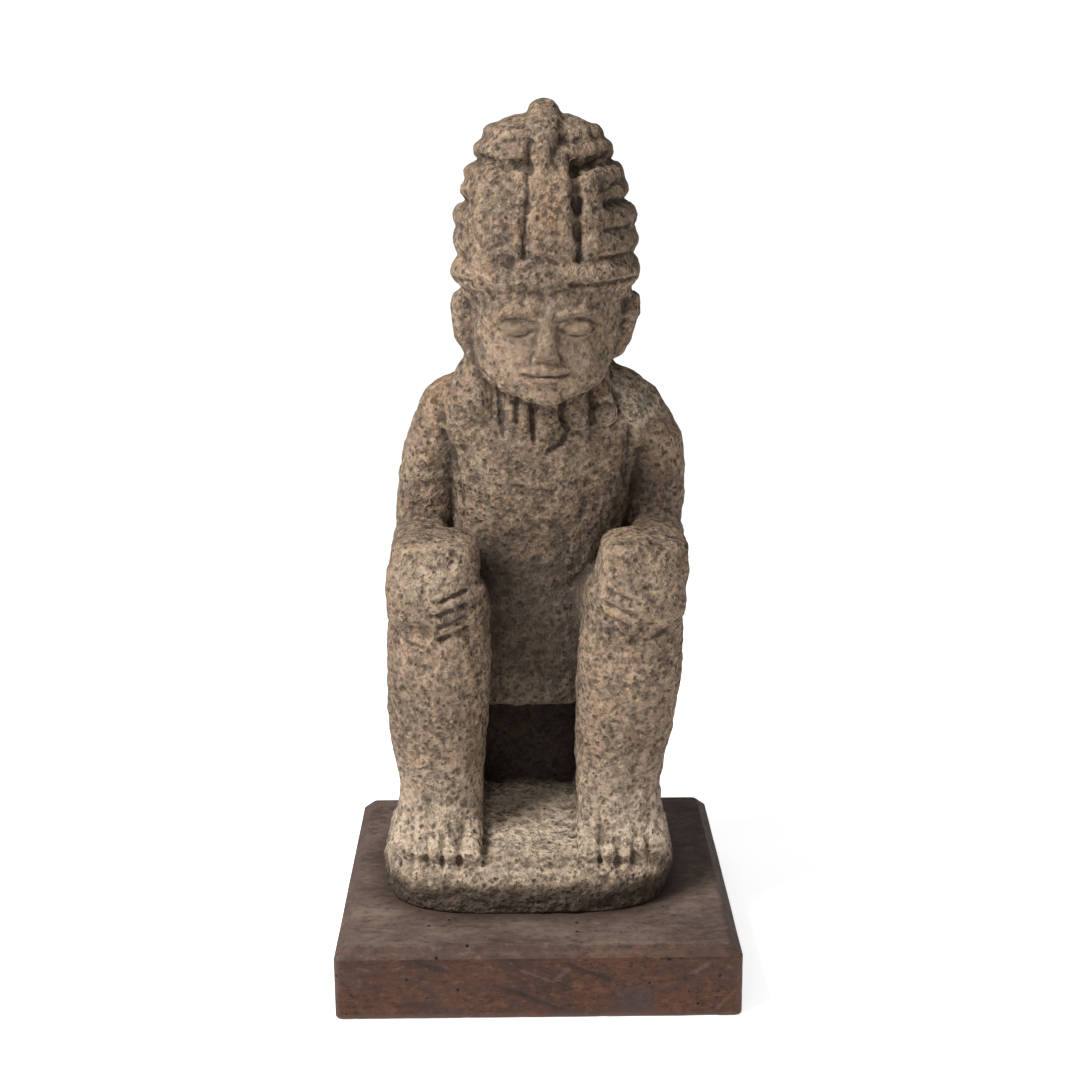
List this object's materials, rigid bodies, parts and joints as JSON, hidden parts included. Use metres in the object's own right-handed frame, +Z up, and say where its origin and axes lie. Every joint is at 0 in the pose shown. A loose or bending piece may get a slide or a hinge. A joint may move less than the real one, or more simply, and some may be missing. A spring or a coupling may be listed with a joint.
{
  "type": "seated stone figure on plinth",
  "caption": "Seated figure in a tall banded headdress, hands on its knees, carved in pitted volcanic stone and set on a square stained wood plinth with a chamfered top.",
  "frame": {"origin": "middle of the plinth's underside", "axes": "+Z up, the figure faces -Y, +X to its viewer's right"},
  "size_m": [0.27, 0.27, 0.5924],
  "materials": {
    "volcanic_stone": "rough, pitted and weathered",
    "stained_wood": "dark worn stain with beetle holes"
  },
  "bodies": {
    "root": {"figure": "volcanic_stone", "plinth": "stained_wood"}
  },
  "joints": []
}
